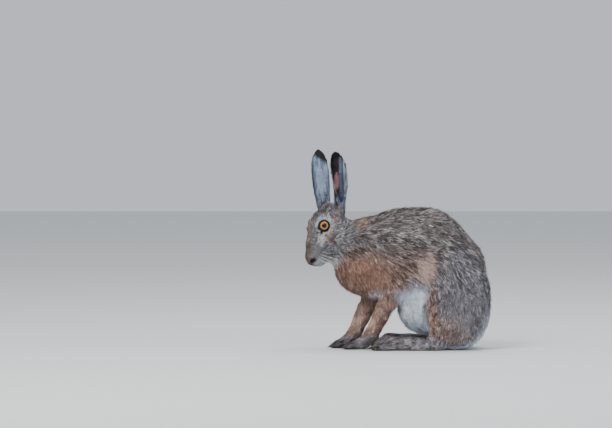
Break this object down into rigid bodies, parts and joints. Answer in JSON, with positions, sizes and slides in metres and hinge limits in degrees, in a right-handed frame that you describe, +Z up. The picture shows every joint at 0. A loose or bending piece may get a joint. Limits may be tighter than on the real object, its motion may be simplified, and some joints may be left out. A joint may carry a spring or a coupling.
{
  "type": "brown hare model",
  "caption": "Life-size still model of a brown hare sitting upright on its hind feet, forelegs straight, back arched, ears raised.",
  "frame": {"origin": "on the floor, under the middle of the animal's bounding box", "axes": "+Z up, -X towards the nose, -Y towards the animal's left"},
  "size_m": [0.3484, 0.1566, 0.3734],
  "materials": {
    "coat_head": "short grizzled grey-brown fur, pale round the eye",
    "coat_neck": "rufous brown fur",
    "coat_back": "brown fur grizzled with black, white under the belly",
    "coat_haunch": "greyish brown fur with dark streaks",
    "coat_leg": "short rufous tan fur",
    "coat_tail": "white fur, black on top",
    "paw": "short brown fur, darker toes, horn claws",
    "ear": "thin ear, grey-brown outside, black tip, pink inside",
    "eye": "wet amber eye with a black pupil"
  },
  "bodies": {
    "root": {"head": "coat_head", "neck": "coat_neck", "torso": "coat_back", "tail": "coat_tail", "ear_left": "ear", "ear_right": "ear", "eye_left": "eye", "eye_right": "eye", "foreleg_left": "coat_leg", "foreleg_right": "coat_leg", "forepaw_left": "paw", "forepaw_right": "paw", "haunch_left": "coat_haunch", "haunch_right": "coat_haunch", "hind_foot_left": "paw", "hind_foot_right": "paw"}
  },
  "joints": []
}
